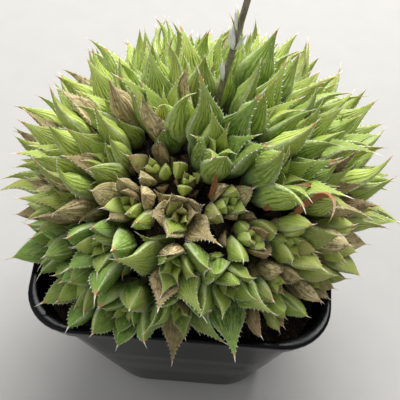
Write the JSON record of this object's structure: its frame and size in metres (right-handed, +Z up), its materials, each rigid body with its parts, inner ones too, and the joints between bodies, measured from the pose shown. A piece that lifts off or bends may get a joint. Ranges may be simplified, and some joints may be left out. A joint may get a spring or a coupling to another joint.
{
  "type": "potted haworthia cooperi",
  "caption": "Low dome of small pointed succulent rosettes with one dry flower stalk, in a tapered square black nursery pot.",
  "frame": {"origin": "middle of the pot's flat base, on the surface that it stands on", "axes": "+Z up, X and Y along the pot's sides, the picture taken from about -Y"},
  "size_m": [0.1376, 0.1323, 0.1806],
  "materials": {
    "pot": "glossy black moulded plastic with a faint navy tint",
    "soil": "dry peat and bark crumbs",
    "stem_mat": "matted short stems and dry dead leaves",
    "leaf": "firm satin succulent leaf with darker veins and tan tips",
    "stalk": "dry grey-brown stalk with papery bracts"
  },
  "bodies": {
    "root": {"pot": "pot", "soil": "soil", "stem_mat": "stem_mat", "rosette_01": "leaf", "rosette_02": "leaf", "rosette_03": "leaf", "rosette_04": "leaf", "rosette_05": "leaf", "rosette_06": "leaf", "rosette_07": "leaf", "rosette_08": "leaf", "rosette_09": "leaf", "rosette_10": "leaf", "rosette_11": "leaf", "rosette_12": "leaf", "rosette_13": "leaf", "rosette_14": "leaf", "rosette_15": "leaf", "rosette_16": "leaf", "rosette_17": "leaf", "rosette_18": "leaf", "rosette_19": "leaf", "rosette_20": "leaf", "rosette_21": "leaf", "rosette_22": "leaf", "rosette_23": "leaf", "rosette_24": "leaf", "rosette_25": "leaf", "rosette_26": "leaf", "rosette_27": "leaf", "rosette_28": "leaf", "rosette_29": "leaf", "rosette_30": "leaf", "rosette_31": "leaf", "rosette_32": "leaf", "rosette_33": "leaf", "rosette_34": "leaf", "rosette_35": "leaf", "rosette_36": "leaf", "rosette_37": "leaf", "rosette_38": "leaf", "rosette_39": "leaf", "rosette_40": "leaf", "rosette_41": "leaf", "rosette_42": "leaf", "rosette_43": "leaf", "rosette_44": "leaf", "rosette_45": "leaf", "rosette_46": "leaf", "rosette_47": "leaf", "rosette_48": "leaf", "rosette_49": "leaf", "flower_stalk": "stalk"}
  },
  "joints": []
}
